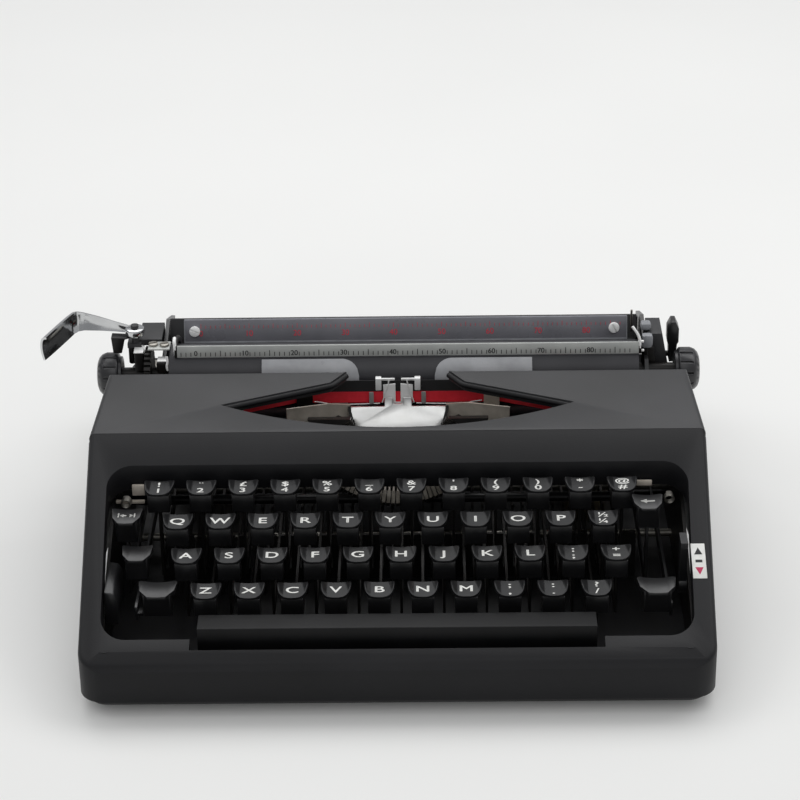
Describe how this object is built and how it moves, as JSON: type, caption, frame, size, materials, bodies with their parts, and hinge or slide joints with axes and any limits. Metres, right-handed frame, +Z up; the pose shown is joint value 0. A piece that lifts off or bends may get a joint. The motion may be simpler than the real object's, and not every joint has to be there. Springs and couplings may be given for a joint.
{
  "type": "portable typewriter",
  "caption": "Portable desk typewriter: sloping keyboard, lift-up ribbon cover with open type basket, sliding carriage with platen, bail, paper table and return lever.",
  "frame": {"origin": "middle of the space that the machine takes up on the table, at the underside of its feet", "axes": "+X to the typist's right along the platen, +Y away from the typist, +Z up"},
  "size_m": [0.3368, 0.29, 0.1],
  "materials": {
    "case_plastic": "fine grained moulded plastic",
    "cover_plastic": "fine grained moulded plastic",
    "key_plastic": "satin gloss",
    "zinc_steel": "zinc plated",
    "dark_steel": "black lacquer",
    "type_steel": "hardened and oiled",
    "bright_chrome": "polished",
    "platen_rubber": "smooth",
    "foot_rubber": "matt",
    "ribbon_fabric": "inked nylon, upper half black and lower half red",
    "spool_plastic": "moulded",
    "clear_plastic": "clear moulded acrylic",
    "knob_plastic": "polished with grip ribs",
    "bell_steel": "plain"
  },
  "bodies": {
    "case": {"main_housing": "case_plastic", "bottom_pan": "dark_steel", "rubber_feet": "foot_rubber", "case_screws": "dark_steel", "side_plates": "zinc_steel", "cross_members": "zinc_steel", "carriage_rail": "zinc_steel", "pivot_rods": "zinc_steel", "key_comb": "zinc_steel", "type_segment": "zinc_steel", "typebars": "type_steel", "type_guide": "bright_chrome", "ribbon": "ribbon_fabric", "ribbon_brackets": "zinc_steel", "card_holders": "clear_plastic", "bell": "bell_steel"},
    "cover": {"ribbon_cover": "cover_plastic"},
    "number_row": {"number_row_keys": "key_plastic"},
    "upper_row": {"upper_row_keys": "key_plastic"},
    "lower_row": {"lower_row_keys": "key_plastic"},
    "bar": {"space_bar": "key_plastic"},
    "shift": {"shift_keys": "key_plastic"},
    "lock": {"shift_lock_key": "key_plastic"},
    "backspace": {"backspace_key": "key_plastic"},
    "margin_release": {"margin_release_key": "key_plastic"},
    "selector": {"ribbon_selector_lever": "key_plastic"},
    "type_h": {"typebar_h": "type_steel"},
    "vibrator": {"ribbon_vibrator": "bright_chrome"},
    "spool_left": {"ribbon_spool_left": "spool_plastic"},
    "spool_right": {"ribbon_spool_right": "spool_plastic"},
    "carriage": {"carriage_frame": "dark_steel", "paper_table": "dark_steel", "scale_window": "clear_plastic", "scale_screws": "bright_chrome", "end_covers": "dark_steel", "margin_rail": "dark_steel"},
    "platen_body": {"platen": "platen_rubber", "platen_shaft": "zinc_steel", "platen_knobs": "knob_plastic", "ratchet_wheel": "zinc_steel"},
    "feed_front": {"feed_rollers_front": "platen_rubber"},
    "feed_rear": {"feed_rollers_rear": "platen_rubber"},
    "return": {"return_lever": "dark_steel"},
    "bail": {"paper_bail": "dark_steel"},
    "release": {"paper_release_lever": "dark_steel"},
    "stop_left": {"margin_stop_left": "dark_steel"},
    "stop_right": {"margin_stop_right": "dark_steel"},
    "drum": {"mainspring_drum": "zinc_steel"},
    "escapement": {"escapement_wheel": "zinc_steel"},
    "letter_a": {"key_a": "key_plastic"},
    "letter_s": {"key_s": "key_plastic"},
    "letter_d": {"key_d": "key_plastic"},
    "letter_f": {"key_f": "key_plastic"},
    "letter_g": {"key_g": "key_plastic"},
    "letter_h": {"key_h": "key_plastic"},
    "letter_j": {"key_j": "key_plastic"},
    "letter_k": {"key_k": "key_plastic"},
    "letter_l": {"key_l": "key_plastic"},
    "letter_semicolon": {"key_semicolon": "key_plastic"},
    "letter_equals": {"key_equals": "key_plastic"}
  },
  "joints": [
    {"name": "cover_hinge", "type": "hinge", "parent": "case", "child": "cover", "pos_m": [0.01245, -0.0165, 0.0755], "axis": [1, 0, 0], "range_deg": [0, 60]},
    {"name": "number_row_press", "type": "hinge", "parent": "case", "child": "number_row", "pos_m": [0.01245, 0.027, 0.022], "axis": [1, 0, 0], "range_deg": [0, 5], "stiffness_Nm_per_rad": 0.8, "springref_deg": -17.19},
    {"name": "upper_row_press", "type": "hinge", "parent": "case", "child": "upper_row", "pos_m": [0.01245, 0.027, 0.022], "axis": [1, 0, 0], "range_deg": [0, 5], "stiffness_Nm_per_rad": 0.8, "springref_deg": -17.19},
    {"name": "lower_row_press", "type": "hinge", "parent": "case", "child": "lower_row", "pos_m": [0.01245, 0.027, 0.022], "axis": [1, 0, 0], "range_deg": [0, 5], "stiffness_Nm_per_rad": 0.8, "springref_deg": -17.19},
    {"name": "key_a_press", "type": "hinge", "parent": "case", "child": "letter_a", "pos_m": [0.01245, 0.027, 0.022], "axis": [1, 0, 0], "range_deg": [0, 5], "stiffness_Nm_per_rad": 0.08, "springref_deg": -17.19},
    {"name": "key_s_press", "type": "hinge", "parent": "case", "child": "letter_s", "pos_m": [0.01245, 0.027, 0.022], "axis": [1, 0, 0], "range_deg": [0, 5], "stiffness_Nm_per_rad": 0.08, "springref_deg": -17.19},
    {"name": "key_d_press", "type": "hinge", "parent": "case", "child": "letter_d", "pos_m": [0.01245, 0.027, 0.022], "axis": [1, 0, 0], "range_deg": [0, 5], "stiffness_Nm_per_rad": 0.08, "springref_deg": -17.19},
    {"name": "key_f_press", "type": "hinge", "parent": "case", "child": "letter_f", "pos_m": [0.01245, 0.027, 0.022], "axis": [1, 0, 0], "range_deg": [0, 5], "stiffness_Nm_per_rad": 0.08, "springref_deg": -17.19},
    {"name": "key_g_press", "type": "hinge", "parent": "case", "child": "letter_g", "pos_m": [0.01245, 0.027, 0.022], "axis": [1, 0, 0], "range_deg": [0, 5], "stiffness_Nm_per_rad": 0.08, "springref_deg": -17.19},
    {"name": "key_h_press", "type": "hinge", "parent": "case", "child": "letter_h", "pos_m": [0.01245, 0.027, 0.022], "axis": [1, 0, 0], "range_deg": [0, 5], "stiffness_Nm_per_rad": 0.08, "springref_deg": -17.19},
    {"name": "key_j_press", "type": "hinge", "parent": "case", "child": "letter_j", "pos_m": [0.01245, 0.027, 0.022], "axis": [1, 0, 0], "range_deg": [0, 5], "stiffness_Nm_per_rad": 0.08, "springref_deg": -17.19},
    {"name": "key_k_press", "type": "hinge", "parent": "case", "child": "letter_k", "pos_m": [0.01245, 0.027, 0.022], "axis": [1, 0, 0], "range_deg": [0, 5], "stiffness_Nm_per_rad": 0.08, "springref_deg": -17.19},
    {"name": "key_l_press", "type": "hinge", "parent": "case", "child": "letter_l", "pos_m": [0.01245, 0.027, 0.022], "axis": [1, 0, 0], "range_deg": [0, 5], "stiffness_Nm_per_rad": 0.08, "springref_deg": -17.19},
    {"name": "key_semicolon_press", "type": "hinge", "parent": "case", "child": "letter_semicolon", "pos_m": [0.01245, 0.027, 0.022], "axis": [1, 0, 0], "range_deg": [0, 5], "stiffness_Nm_per_rad": 0.08, "springref_deg": -17.19},
    {"name": "key_equals_press", "type": "hinge", "parent": "case", "child": "letter_equals", "pos_m": [0.01245, 0.027, 0.022], "axis": [1, 0, 0], "range_deg": [0, 5], "stiffness_Nm_per_rad": 0.08, "springref_deg": -17.19},
    {"name": "backspace_press", "type": "hinge", "parent": "case", "child": "backspace", "pos_m": [0.01245, 0.027, 0.022], "axis": [1, 0, 0], "range_deg": [0, 5], "stiffness_Nm_per_rad": 0.08, "springref_deg": -17.19},
    {"name": "margin_release_press", "type": "hinge", "parent": "case", "child": "margin_release", "pos_m": [0.01245, 0.027, 0.022], "axis": [1, 0, 0], "range_deg": [0, 5], "stiffness_Nm_per_rad": 0.08, "springref_deg": -17.19},
    {"name": "space_bar_press", "type": "hinge", "parent": "case", "child": "bar", "pos_m": [0.01245, -0.005, 0.0125], "axis": [1, 0, 0], "range_deg": [0, 3], "stiffness_Nm_per_rad": 0.5, "springref_deg": -17.19},
    {"name": "shift_press", "type": "hinge", "parent": "case", "child": "shift", "pos_m": [0.01245, 0.003, 0.0295], "axis": [1, 0, 0], "range_deg": [0, 4.5], "stiffness_Nm_per_rad": 0.5, "springref_deg": -17.19},
    {"name": "shift_lock_press", "type": "hinge", "parent": "shift", "child": "lock", "pos_m": [0.01245, -0.052, 0.0315], "axis": [1, 0, 0], "range_deg": [0, 2.5], "stiffness_Nm_per_rad": 0.03, "springref_deg": -17.19},
    {"name": "selector_tilt", "type": "hinge", "parent": "case", "child": "selector", "pos_m": [0.01245, -0.081, 0.03], "axis": [1, 0, 0], "range_deg": [-8, 8]},
    {"name": "typebar_h_swing", "type": "hinge", "parent": "case", "child": "type_h", "pos_m": [0.01245, 0.01978, 0.03739], "axis": [-1, 0, 0], "range_deg": [0, 114.6]},
    {"name": "vibrator_lift", "type": "slide", "parent": "case", "child": "vibrator", "axis": [0, 0, 1], "range_m": [0, 0.005]},
    {"name": "spool_left_spin", "type": "hinge", "parent": "case", "child": "spool_left", "pos_m": [-0.08555, 0.009, 0.068], "axis": [0, 0, 1], "continuous": true},
    {"name": "spool_right_spin", "type": "hinge", "parent": "case", "child": "spool_right", "pos_m": [0.11045, 0.009, 0.068], "axis": [0, 0, 1], "continuous": true},
    {"name": "carriage_slide", "type": "slide", "parent": "case", "child": "carriage", "axis": [1, 0, 0], "range_m": [-0.105, 0.105]},
    {"name": "platen_turn", "type": "hinge", "parent": "carriage", "child": "platen_body", "pos_m": [0.01245, 0.065, 0.0695], "axis": [1, 0, 0], "continuous": true},
    {"name": "feed_front_spin", "type": "hinge", "parent": "carriage", "child": "feed_front", "pos_m": [0.01245, 0.0551, 0.05235], "axis": [1, 0, 0], "continuous": true},
    {"name": "feed_rear_spin", "type": "hinge", "parent": "carriage", "child": "feed_rear", "pos_m": [0.01245, 0.0749, 0.05235], "axis": [1, 0, 0], "continuous": true},
    {"name": "return_lever_swing", "type": "hinge", "parent": "carriage", "child": "return", "pos_m": [-0.12355, 0.068, 0.093], "axis": [0, 0, 1], "range_deg": [0, 25], "stiffness_Nm_per_rad": 0.05, "springref_deg": -5.73},
    {"name": "paper_bail_lift", "type": "hinge", "parent": "carriage", "child": "bail", "pos_m": [0.01245, 0.084, 0.077], "axis": [-1, 0, 0], "range_deg": [0, 60]},
    {"name": "paper_release_pull", "type": "hinge", "parent": "carriage", "child": "release", "pos_m": [0.15445, 0.082, 0.07], "axis": [1, 0, 0], "range_deg": [0, 14]},
    {"name": "margin_stop_left_slide", "type": "slide", "parent": "carriage", "child": "stop_left", "axis": [1, 0, 0], "range_m": [0, 0.095]},
    {"name": "margin_stop_right_slide", "type": "slide", "parent": "carriage", "child": "stop_right", "axis": [1, 0, 0], "range_m": [-0.095, 0]},
    {"name": "mainspring_turn", "type": "hinge", "parent": "case", "child": "drum", "pos_m": [-0.09155, 0.069, 0.024], "axis": [0, 0, 1], "range_deg": [-340, 340]},
    {"name": "escapement_turn", "type": "hinge", "parent": "case", "child": "escapement", "pos_m": [0.02645, 0.0933, 0.042], "axis": [0, 0, 1], "range_deg": [-680, 680]}
  ],
  "couplings": [
    {"joint": "typebar_h_swing", "follows": "key_h_press", "ratio": 22.9},
    {"joint": "vibrator_lift", "follows": "key_h_press", "m_per_rad": 0.0573},
    {"joint": "spool_right_spin", "follows": "spool_left_spin", "ratio": 1},
    {"joint": "feed_front_spin", "follows": "platen_turn", "ratio": -4.189},
    {"joint": "feed_rear_spin", "follows": "platen_turn", "ratio": -4.189},
    {"joint": "mainspring_turn", "follows": "carriage_slide", "rad_per_m": -55.5},
    {"joint": "escapement_turn", "follows": "carriage_slide", "rad_per_m": -111.1}
  ]
}
